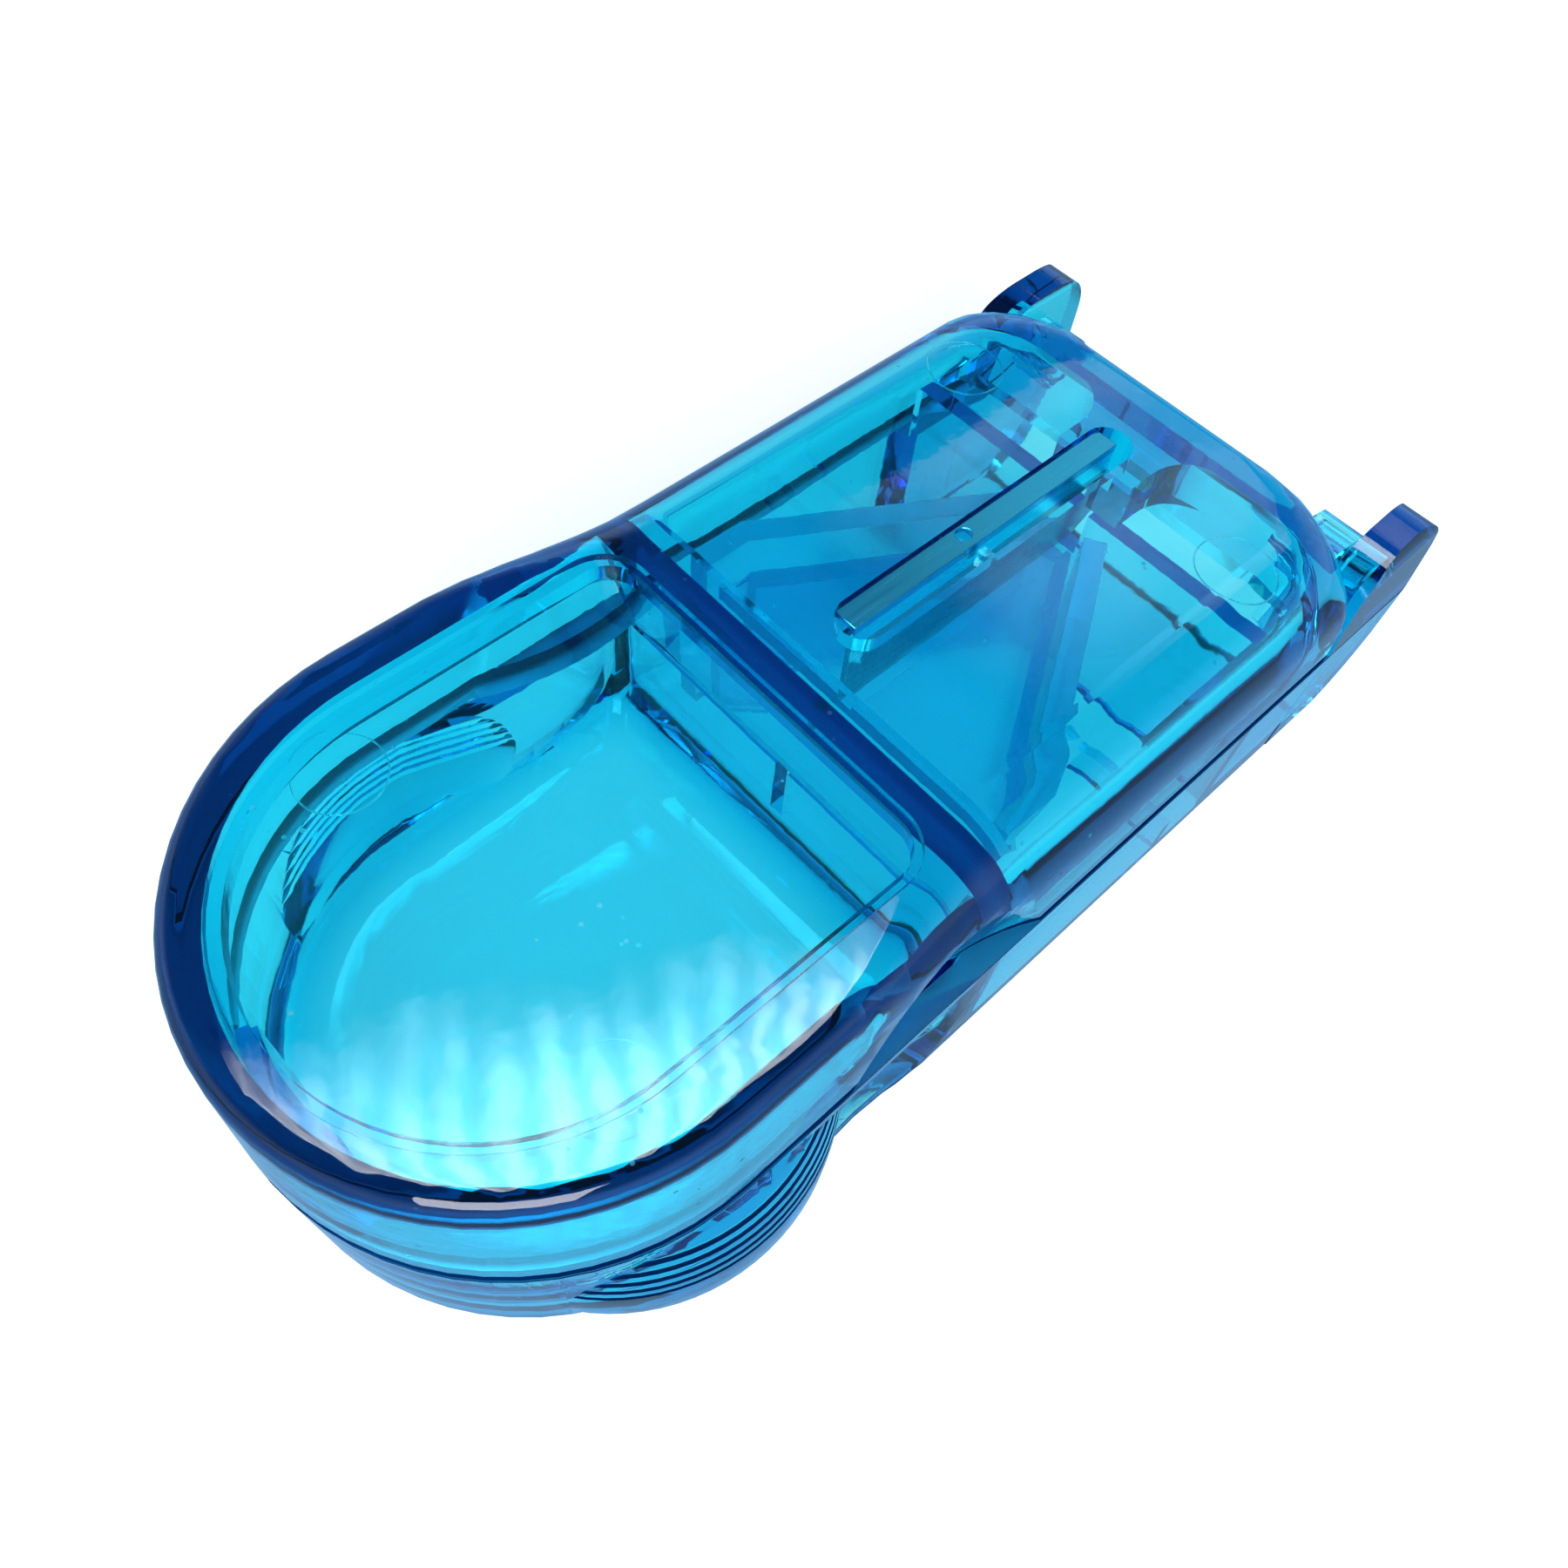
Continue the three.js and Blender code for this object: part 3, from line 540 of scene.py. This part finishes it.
@dataclass(frozen=True)
class GroundSteel:
    """Ground stainless steel of the blade, whose folded top gets a painted reflection of the blue
    of the lid around it.

    Attributes:
        name: Name of the material.
        bright: Colour on the ground lines.
        dull: Colour between them.
        line_share: Weight of the lines against the stains.
        contrast: How far lines and stains move the colour.
        top: Colour of the folded top, a painted reflection of the lid's blue.
        reflection_z: Height above which the painted reflection starts, in metres.
        reflection_share: Share of the painted reflection there.
        lit: Colour of the leg's right face where it stands in the lit slot, a painted light.
        lit_z: Heights between which the leg is lit.
        rough: Lowest roughness, and how much the lines add.
        groove: Strength and depth of the ground lines.
    """

    name: str = "blade_steel"
    bright: Colour = (0.46, 0.60, 0.64)
    dull: Colour = (0.22, 0.35, 0.40)
    line_share: float = 0.6
    contrast: float = 0.62
    top: Colour = (0.025, 0.50, 0.80)
    reflection_z: float = 25.3 * MM
    reflection_share: float = 0.92
    lit: Colour = (0.02, 0.90, 1.0)
    lit_z: tuple[float, float] = (23.6 * MM, 25.2 * MM)
    rough: tuple[float, float] = (0.2, 0.12)
    groove: tuple[float, float] = (0.06, 0.02 * MM)

    def build(self, surface: bpy.types.NodeTree) -> bpy.types.Material:
        """Builds the material.

        Args:
            surface: The ground steel group.

        Returns:
            The material.
        """
        material, tree = new_material(self.name)
        shader = tree.nodes["Principled BSDF"]
        shader.inputs["Metallic"].default_value = 1.0
        detail = place_group(tree, surface).outputs
        tree.links.new(self.colour(tree, detail), shader.inputs["Base Color"])
        least, more = self.rough
        rough = math_node(tree, "MULTIPLY_ADD", detail["Lines"], more, least)
        tree.links.new(rough, shader.inputs["Roughness"])
        ripple(tree, shader, detail["Lines"], *self.groove)
        return material

    def colour(
        self, tree: bpy.types.NodeTree, detail: bpy.types.NodeOutputs
    ) -> bpy.types.NodeSocket:
        """Works out the steel's colour: ground lines and stains, the painted reflection of blue on
        the top and the painted light on the lit leg.

        Args:
            tree: The material's tree.
            detail: Outputs of the ground steel group.

        Returns:
            The colour.
        """
        part = split_axes(tree, object_place(tree)).outputs
        shade = math_node(tree, "MULTIPLY_ADD", detail["Lines"], self.line_share, detail["Stain"])
        shade = math_node(tree, "MULTIPLY", shade, self.contrast)
        ground = blend(tree, shade, self.dull, self.bright)
        # Painted reflection: the steel's folded top is painted the lid's blue.
        above = math_node(tree, "GREATER_THAN", part["Z"], self.reflection_z)
        folded = blend(tree, math_node(tree, "MULTIPLY", above, self.reflection_share), ground, self.top)
        # Painted light on the leg's right face where it stands in the lit slot.
        low, high = self.lit_z
        band = math_node(tree, "COMPARE", part["Z"], (low + high) / 2, (high - low) / 2)
        right = math_node(tree, "GREATER_THAN", part["X"], 0.0)
        return blend(tree, math_node(tree, "MULTIPLY", band, right), folded, self.lit)


@dataclass
class Finishes:
    """All finishes of the splitter, built once."""

    base: bpy.types.Material = field(init=False)
    lid: bpy.types.Material = field(init=False)
    holder: bpy.types.Material = field(init=False)
    arm: bpy.types.Material = field(init=False)
    latch: bpy.types.Material = field(init=False)
    pin: bpy.types.Material = field(init=False)
    # Painted shade of the parting edge and of the grip grooves.
    seam: bpy.types.Material = field(init=False)
    frost: bpy.types.Material = field(init=False)
    steel: bpy.types.Material = field(init=False)

    def __post_init__(self) -> None:
        """Builds the shared groups and the materials."""
        moulded = MouldedSurface().build()
        self.base = ClearTint("base_plastic").build(moulded)
        self.lid = ClearTint("lid_plastic").build(moulded)
        # The seam finish is painted shade, nearly black-blue.
        self.seam = PaintedEdgeShade().build(moulded)
        self.frost = ClearTint("parting_face", rough=(0.45, 0.6)).build(moulded)
        self.holder = ClearTint(
            "holder_plastic", swallow=(0.32, 0.048, 0.016), rough=(0.14, 0.26),
            skin=((0.50, 0.80, 0.95), (0.66, 0.90, 1.0)), clear=0.93,
        ).build(moulded)
        self.arm = ClearTint(
            "arm_plastic", swallow=(0.20, 0.022, 0.008), rough=(0.16, 0.30),
            skin=((0.62, 0.86, 0.98), (0.80, 0.94, 1.0)), clear=0.90,
        ).build(moulded)
        self.latch = ClearTint("latch_plastic").build(moulded)
        self.pin = ClearTint("pin_plastic").build(moulded)
        self.steel = GroundSteel().build(GroundSurface().build())


# ------------------------------------------------------------------------------------- meshes


@dataclass(frozen=True)
class PartingJoint:
    """The joint between tray and lid: a band of painted shade on the outer walls and a frosted
    level face.

    Attributes:
        height: Height of the piece's parting face, in metres.
        lid_band: Height of the painted-shade band on the lid, whose lowest face is the parting
            face.
        tray_band: Height of the painted-shade band on the tray.
        upright: Greatest upward lean of a wall.
        level: Least upward lean of the parting face.
        tolerance: How near its height a face counts as the parting face.
        cut_tolerance: How near a corner counts as on the cut.
    """

    height: float
    lid_band: float = 0.9 * MM
    tray_band: float = 0.3 * MM
    upright: float = 0.4
    level: float = 0.9
    tolerance: float = 0.02 * MM
    cut_tolerance: float = 0.001 * MM

    def dress(self, bm: bmesh.types.BMesh) -> None:
        """Gives the joint's finishes to a piece: painted shade on the outer band and frost on the
        parting face.

        Args:
            bm: The piece's mesh.
        """
        lowest = min(vert.co.z for vert in bm.verts)
        on_lid = abs(lowest - self.height) < MM
        band_end = self.height + (self.lid_band if on_lid else -self.tray_band)
        bmesh.ops.bisect_plane(
            bm, geom=[*bm.verts, *bm.edges, *bm.faces], dist=self.cut_tolerance,
            plane_co=(0.0, 0.0, band_end), plane_no=(0.0, 0.0, 1.0),
        )
        low, high = sorted((self.height, band_end))
        for face in bm.faces:
            centre = face.calc_center_median()
            outward = Vector((centre.x, min(0.0, centre.y - NOSE_CENTRE_Y), 0.0))
            on_wall = abs(face.normal.z) < self.upright and face.normal.dot(outward) > 0
            # Outer wall faces in the band get the painted shade.
            if on_wall and low < centre.z < high:
                face.material_index = Finish.EDGE_SHADE
            if abs(face.normal.z) > self.level and abs(centre.z - self.height) < self.tolerance:
                face.material_index = Finish.FROST


@dataclass(frozen=True)
class GripRibs:
    """The fine grooves of the grips, whose upward flanks get the parting edge's painted shade, so
    that they look as dark as it.

    Attributes:
        centre: Axis of the right grip, across and along the part.
        reach: Least distance of the grooves from that axis.
        least_x: Least distance of the grooves from the part's middle.
        heights: Lowest and highest level of the grooves.
        steep: Least upward lean of a flank.
    """

    centre: tuple[float, float] = (7.8 * MM, -26.5 * MM)
    reach: float = 12.6 * MM
    least_x: float = 15.6 * MM
    heights: tuple[float, float] = (6.2 * MM, 11.7 * MM)
    steep: float = 0.5

    def darken(self, bm: bmesh.types.BMesh) -> None:
        """Gives the painted shade of the parting edge to the flanks.

        Args:
            bm: The mesh.
        """
        low, high = self.heights
        for face in bm.faces:
            middle = face.calc_center_median()
            away = math.hypot(abs(middle.x) - self.centre[0], middle.y - self.centre[1])
            on_grip = low < middle.z < high and away > self.reach and abs(middle.x) > self.least_x
            # Painted shade in the grooves: upward flanks get the parting edge's dark finish.
            if on_grip and face.normal.z > self.steep:
                face.material_index = Finish.EDGE_SHADE


@dataclass(frozen=True)
class EjectorMark:
    """A thin raised ring that an ejector pin leaves on an inner face.

    Attributes:
        x: Centre, across the part.
        y: Centre, along the part.
        face_z: Height of the inner face.
        radius: Radius of the ring.
        bead: Radius of the ring's bead.
        sink: Depth of the bead's centre under the face, in bead radii.
        bead_sides: Sides of the bead.
        steps: Steps round the ring.
    """

    x: float
    y: float
    face_z: float
    radius: float = 3.0 * MM
    bead: float = 0.06 * MM
    sink: float = 1.2
    bead_sides: int = 12
    steps: int = 64

    def add_to(self, bm: bmesh.types.BMesh) -> None:
        """Adds the ring just under the face.

        Args:
            bm: The mesh that gets the ring.
        """
        turn = Matrix.Rotation(math.radians(90.0), 4, "X")
        ring = bmesh.ops.create_circle(
            bm, segments=self.bead_sides, radius=self.bead, matrix=turn
        )["verts"]
        height = self.face_z - self.sink * self.bead
        bmesh.ops.translate(bm, verts=ring, vec=(self.x + self.radius, self.y, height))
        on_ring = set(ring)
        edges = [edge for edge in bm.edges if on_ring.issuperset(edge.verts)]
        bmesh.ops.spin(
            bm, geom=ring + edges, cent=(self.x, self.y, height), axis=(0.0, 0.0, 1.0),
            angle=FULL_TURN, steps=self.steps, use_merge=True,
        )


@dataclass
class MouldedPiece:
    """A piece that keeps the frame's shape and gets softened edges and a finished surface.

    Attributes:
        node: The frame node that it stands for.
        name: Name of the piece.
        slot: The record's material slot; not used.
        body: The body that it rides on.
        seam: Height of its parting face, or None.
        marks: Ejector marks on its inner faces.
        sharp_deg: Edges that turn by more than this stay crisp.
        soft_deg: Edges that turn by more than this are rounded.
        edge_radius: Radius of the rounded edges, in metres.
        edge_steps: Steps round a rounded edge.
    """

    node: str
    name: str
    slot: str
    body: Body
    seam: float | None = None
    marks: tuple[EjectorMark, ...] = ()
    sharp_deg: float = 32.0
    soft_deg: float = 48.0
    edge_radius: float = 0.15 * MM
    edge_steps: int = 2

    def build(self, *materials: bpy.types.Material) -> bpy.types.Object:
        """Builds and dresses the piece.

        Args:
            materials: The finish, then the painted shade of the parting edge and the finish of the
                parting face if it has them.

        Returns:
            The finished piece.
        """
        piece = bpy.data.objects.new(self.name, self.mesh())
        bpy.context.scene.collection.objects.link(piece)
        self.soften(piece)
        for material in materials:
            piece.data.materials.append(material)
        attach(piece, self.body.value)
        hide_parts(self.node)
        log.info("%s: %d faces", self.name, len(piece.data.polygons))
        return piece

    def mesh(self) -> bpy.types.Mesh:
        """Copies the frame node's shape, joins its loose triangles and smooths its round faces.

        Returns:
            The mesh.
        """
        bm = bmesh.new()
        bm.from_mesh(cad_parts[self.node].data)
        bmesh.ops.remove_doubles(bm, verts=bm.verts, dist=MERGE_DISTANCE)
        for mark in self.marks:
            mark.add_to(bm)
        bmesh.ops.recalc_face_normals(bm, faces=bm.faces)
        if self.seam is not None:
            PartingJoint(self.seam).dress(bm)
            GripRibs().darken(bm)
        for face in bm.faces:
            face.smooth = True
        sharp = math.radians(self.sharp_deg)
        for edge in bm.edges:
            edge.smooth = len(edge.link_faces) == 2 and edge.calc_face_angle(0.0) < sharp
        mesh = bpy.data.meshes.new(self.name)
        bm.to_mesh(mesh)
        bm.free()
        return mesh

    def soften(self, piece: bpy.types.Object) -> None:
        """Rounds the crisp edges and evens the normals beside them.

        Args:
            piece: The piece.
        """
        soften = piece.modifiers.new("soft_edges", "BEVEL")
        soften.limit_method = "ANGLE"
        soften.angle_limit = math.radians(self.soft_deg)
        soften.width = self.edge_radius
        soften.segments = self.edge_steps
        soften.miter_outer = "MITER_ARC"
        piece.modifiers.new("even_normals", "WEIGHTED_NORMAL").keep_sharp = True


@dataclass(frozen=True)
class Tray:
    """The base tray with its holder, latch and pins.

    Attributes:
        parting_gap: Height between the tray's rim and the lid's bottom face.
    """

    parting_gap: float = 0.3 * MM

    def build(self, finishes: Finishes) -> None:
        """Builds every piece of the base body.

        Args:
            finishes: The splitter's finishes.
        """
        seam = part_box("lid_cover")[0].z - self.parting_gap
        MouldedPiece("base_tray", "tray_shell", "base_plastic", Body.BASE, seam=seam).build(
            finishes.base, finishes.seam, finishes.frost
        )
        MouldedPiece("pill_bed", "holder_bed", "holder_plastic", Body.BASE).build(finishes.holder)
        for side in ("left", "right"):
            MouldedPiece(
                f"pill_arm_{side}", f"holder_arm_{side}", "holder_plastic", Body.BASE
            ).build(finishes.arm)
            MouldedPiece(
                f"hinge_pin_{side}", f"pin_{side}", "pin_plastic", Body.BASE
            ).build(finishes.pin)
        MouldedPiece("latch_tongue", "latch", "latch_plastic", Body.BASE).build(finishes.latch)


@dataclass(frozen=True)
class Lid:
    """The hinged lid and its blade.

    Attributes:
        window_under: Height of the window's underside.
        roof_under: Height of the roof's underside.
        window_mark: Centre of the right ejector mark under the window, across and along.
        roof_mark: Centre of the right ejector mark under the roof, across and along.
    """

    window_under: float = 22.6 * MM
    roof_under: float = 24.0 * MM
    window_mark: tuple[float, float] = (13.5 * MM, -31.0 * MM)
    roof_mark: tuple[float, float] = (13.4 * MM, 26.5 * MM)

    def marks(self) -> tuple[EjectorMark, ...]:
        """Ejector marks under the window and under the roof, mirrored left and right."""
        places = ((self.window_mark, self.window_under), (self.roof_mark, self.roof_under))
        return tuple(EjectorMark(side * x, y, z) for (x, y), z in places for side in (-1.0, 1.0))

    def build(self, finishes: Finishes) -> None:
        """Builds every piece of the lid body.

        Args:
            finishes: The splitter's finishes.
        """
        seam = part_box("lid_cover")[0].z
        MouldedPiece(
            "lid_cover", "lid_shell", "lid_plastic", Body.LID, seam=seam, marks=self.marks()
        ).build(finishes.lid, finishes.seam, finishes.frost)
        MouldedPiece("blade", "blade_bar", "blade_steel", Body.LID).build(finishes.steel)


# -------------------------------------------------------------------------------------- scene


def flat_sheet(name: str, place: Matrix) -> bpy.types.Object:
    """Adds a square sheet with a side of one metre.

    Args:
        name: Name of the sheet.
        place: Matrix that sizes and places the sheet's mesh.

    Returns:
        The sheet, linked to the scene.
    """
    bm = bmesh.new()
    bmesh.ops.create_grid(bm, x_segments=1, y_segments=1, size=0.5, matrix=place)
    mesh = bpy.data.meshes.new(name)
    bm.to_mesh(mesh)
    bm.free()
    sheet = bpy.data.objects.new(name, mesh)
    bpy.context.scene.collection.objects.link(sheet)
    return sheet


@dataclass(frozen=True)
class SoftCard:
    """Striped soft card above the part, seen only in its mirror images.

    Attributes:
        name: Name of the card.
        centre: Where the card hangs, in metres.
        turn_deg: Direction of its long side, from +X.
        length: Long side, along which the stripes repeat.
        width: Short side, along which the glow fades in.
        strength: Brightness of its stripes.
        stripe: Distance between two stripes.
        colour: Colour of its light.
        stripe_share: Share of the brightness that the stripes take.
        fade: Where the glow starts and where it is full, in widths from the middle.
        waver_scale: Scale of the noise that bends stripes and edge.
        stripe_waver: How far the noise shifts the stripes, as an angle.
        edge_waver: How far the noise shifts the edge, in metres.
    """

    name: str
    centre: tuple[float, float, float]
    turn_deg: float
    length: float
    width: float
    strength: float
    stripe: float
    colour: Colour = (0.92, 1.0, 1.0)
    stripe_share: float = 0.55
    fade: tuple[float, float] = (0.5, 0.05)
    waver_scale: float = 14.0
    stripe_waver: float = 9.0
    edge_waver: float = 0.10

    def build(self) -> None:
        """Hangs the card, seen only by mirror rays."""
        card = flat_sheet(self.name, Matrix.Diagonal((self.length, self.width, 1.0, 1.0)))
        card.location = self.centre
        card.rotation_euler = (0.0, 0.0, math.radians(self.turn_deg))
        card.data.materials.append(self.light())
        card.visible_diffuse = False
        card.visible_shadow = False
        card.visible_camera = False

    def light(self) -> bpy.types.Material:
        """Builds the card's striped light, which fades in unevenly from its far side.

        Returns:
            The material.
        """
        material, tree = new_material(self.name)
        tree.nodes.clear()
        place = object_place(tree)
        part = split_axes(tree, place).outputs
        waver = math_node(tree, "SUBTRACT", noise(tree, place, self.waver_scale, 2.0), 0.5)
        bend = math_node(tree, "MULTIPLY", waver, self.stripe_waver)
        wave = math_node(tree, "MULTIPLY_ADD", part["X"], FULL_TURN / self.stripe, bend)
        stripes = math_node(tree, "MULTIPLY_ADD", math_node(tree, "SINE", wave), 0.5, 0.5)
        shine = math_node(
            tree, "MULTIPLY_ADD", stripes, self.stripe_share, 1.0 - self.stripe_share
        )
        edge = math_node(tree, "MULTIPLY_ADD", waver, self.edge_waver, part["Y"])
        start, full = self.fade
        glow = smooth_fade(tree, edge, start * self.width, full * self.width)
        level = math_node(tree, "MULTIPLY", shine, glow)
        lamp = emission(tree, self.colour)
        tree.links.new(math_node(tree, "MULTIPLY", level, self.strength), lamp.inputs["Strength"])
        end = tree.nodes.new("ShaderNodeOutputMaterial")
        tree.links.new(lamp.outputs["Emission"], end.inputs["Surface"])
        return material


@dataclass(frozen=True)
class Floor:
    """Pale floor under the part.

    Attributes:
        size: Side of the square floor.
        gap: How far the floor lies under the part.
        grey: Its plain colour.
        lift: Strength of its own even glow, which keeps it pale.
        rough: Its roughness.
        glow: Painted colour that the part's outer walls mirror in place of the floor, a painted
            reflection of the blue shade round the part.
    """

    size: float = 4.0
    gap: float = 0.02 * MM
    grey: float = 0.7
    lift: float = 0.6
    rough: float = 0.9
    glow: Colour = (0.24, 0.48, 0.78)

    def build(self) -> None:
        """Lays the floor."""
        height = Matrix.Translation((0.0, 0.0, CAD_BOX[0].z - self.gap))
        floor = flat_sheet("floor", height @ Matrix.Diagonal((self.size, self.size, 1.0, 1.0)))
        material, tree = new_material("pale_floor")
        shader = tree.nodes["Principled BSDF"]
        shader.inputs["Base Color"].default_value = (self.grey, self.grey, self.grey, 1.0)
        shader.inputs["Emission Color"].default_value = (1.0, 1.0, 1.0, 1.0)
        shader.inputs["Emission Strength"].default_value = self.lift
        shader.inputs["Roughness"].default_value = self.rough
        shader.inputs["Specular IOR Level"].default_value = 0.0
        self.paint_reflection(tree, shader)
        floor.data.materials.append(material)

    def paint_reflection(self, tree: bpy.types.NodeTree, shader: bpy.types.Node) -> None:
        """Paints the floor blue where the part's outer walls mirror it: a painted reflection of
        the blue shade and glow that the part casts on the floor round it.

        Args:
            tree: The floor's tree.
            shader: The floor's plain shader.
        """
        path = tree.nodes.new("ShaderNodeLightPath").outputs
        outside = math_node(tree, "SUBTRACT", path["Is Glossy Ray"], path["Is Transmission Ray"])
        outside.node.use_clamp = True
        # Painted reflection: rays mirrored by the part's outer walls see a blue glow instead of
        # the floor.
        glow = emission(tree, self.glow).outputs["Emission"]
        mixed = mix_shaders(tree, outside, shader.outputs["BSDF"], glow)
        tree.links.new(mixed, tree.nodes["Material Output"].inputs["Surface"])


@dataclass(frozen=True)
class Surround:
    """Light from all round: tinted in mirror images and through the part, neutral on the floor.

    Attributes:
        horizon: Tinted colour low down.
        zenith: Tinted colour overhead.
        plain: Neutral brightness low down and overhead.
        fade: Heights between which low turns into overhead, as the sine of the elevation.
    """

    horizon: Colour = (0.50, 0.74, 0.92)
    zenith: Colour = (0.03, 0.17, 0.27)
    plain: tuple[float, float] = (0.95, 0.12)
    fade: tuple[float, float] = (0.15, 0.6)

    def build(self) -> None:
        """Sets the world."""
        world = bpy.data.worlds.new("studio")
        world.use_nodes = True
        tree = world.node_tree
        heading = tree.nodes.new("ShaderNodeTexCoord").outputs["Generated"]
        high = smooth_fade(tree, split_axes(tree, heading).outputs["Z"], *self.fade)
        tinted = blend(tree, high, self.horizon, self.zenith)
        low_plain, high_plain = ((level, level, level) for level in self.plain)
        neutral = blend(tree, high, low_plain, high_plain)
        on_floor = tree.nodes.new("ShaderNodeLightPath").outputs["Is Diffuse Ray"]
        tree.links.new(
            blend(tree, on_floor, tinted, neutral), tree.nodes["Background"].inputs["Color"]
        )
        bpy.context.scene.world = world


@dataclass(frozen=True)
class KeyLamp:
    """One broad square lamp that faces the part.

    Attributes:
        place: Where it hangs, in metres.
        aim: Point that it faces.
        size: Side of the square.
        power: Watts.
    """

    place: tuple[float, float, float] = (0.45, -0.50, 0.55)
    aim: tuple[float, float, float] = (0.0, 0.0, 0.01)
    size: float = 0.50
    power: float = 8.0

    def build(self) -> None:
        """Hangs the lamp."""
        data = bpy.data.lights.new("key", "AREA")
        data.shape = "SQUARE"
        data.size = self.size
        data.energy = self.power
        lamp = bpy.data.objects.new("key", data)
        lamp.location = self.place
        heading = Vector(self.aim) - Vector(self.place)
        lamp.rotation_euler = heading.to_track_quat("-Z", "Y").to_euler()
        bpy.context.scene.collection.objects.link(lamp)


@dataclass(frozen=True)
class Viewpoint:
    """The camera.

    Attributes:
        eye: Where the camera stands, in metres.
        azimuth_deg: Direction of the eye round the part, from -Y towards +X.
        elevation_deg: Height of the view above the floor.
        roll_deg: Turn of the picture about the line of sight.
        lens: Focal length in millimetres.
        sensor: Width of the sensor in millimetres.
        clip: Nearest and farthest distance that is drawn.
    """

    eye: tuple[float, float, float] = (0.03256, -0.04302, 0.09153)
    azimuth_deg: float = 40.048
    elevation_deg: float = 57.942
    roll_deg: float = 8.314
    lens: float = 28.885
    sensor: float = 36.0
    clip: tuple[float, float] = (0.001, 50.0)

    def build(self) -> None:
        """Sets the camera."""
        data = bpy.data.cameras.new("camera")
        data.sensor_fit = "HORIZONTAL"
        data.sensor_width = self.sensor
        data.lens = self.lens
        data.clip_start, data.clip_end = self.clip
        camera = bpy.data.objects.new("camera", data)
        camera.matrix_world = Matrix.Translation(self.eye) @ self.turn().to_4x4()
        bpy.context.scene.collection.objects.link(camera)
        bpy.context.scene.camera = camera

    def turn(self) -> Matrix:
        """Works out how the camera is turned.

        Returns:
            The 3 by 3 rotation matrix.
        """
        azimuth, elevation = math.radians(self.azimuth_deg), math.radians(self.elevation_deg)
        back = Vector((
            math.sin(azimuth) * math.cos(elevation),
            -math.cos(azimuth) * math.cos(elevation),
            math.sin(elevation),
        ))
        right = (-back).cross(Vector((0.0, 0.0, 1.0))).normalized()
        up = right.cross(-back)
        roll = math.radians(self.roll_deg)
        axis_x = right * math.cos(roll) + up * math.sin(roll)
        axis_y = up * math.cos(roll) - right * math.sin(roll)
        return Matrix((axis_x, axis_y, back)).transposed()


@dataclass(frozen=True)
class Studio:
    """The whole set: floor, surround, lamp, cards and camera.

    Attributes:
        cards: The soft cards: striped glare on the window and a dim veil on the roof.
    """

    cards: tuple[SoftCard, ...] = (
        SoftCard("window_glare", (-0.120, 0.042, 0.6), 61.3, 0.42, 0.22, 12.0, 0.024),
        SoftCard("roof_veil", (-0.170, 0.60, 0.6), 180.0, 0.40, 0.40, 1.3, 0.15),
    )

    def build(self) -> None:
        """Builds the set."""
        for part in (Floor(), Surround(), KeyLamp(), *self.cards, Viewpoint()):
            part.build()


def show_true_colours() -> None:
    """Shows colours as they are and lets light pass enough walls of clear plastic."""
    scene = bpy.context.scene
    scene.view_settings.view_transform = "Standard"
    scene.cycles.max_bounces = 24
    scene.cycles.transmission_bounces = 24
    scene.cycles.glossy_bounces = 12
    scene.cycles.transparent_max_bounces = 32


def main() -> None:
    """Builds the splitter and its studio."""
    logging.basicConfig(level=logging.INFO, format="%(name)s: %(message)s")
    finishes = Finishes()
    Tray().build(finishes)
    Lid().build(finishes)
    Studio().build()
    show_true_colours()


if __name__ == "__main__":
    main()
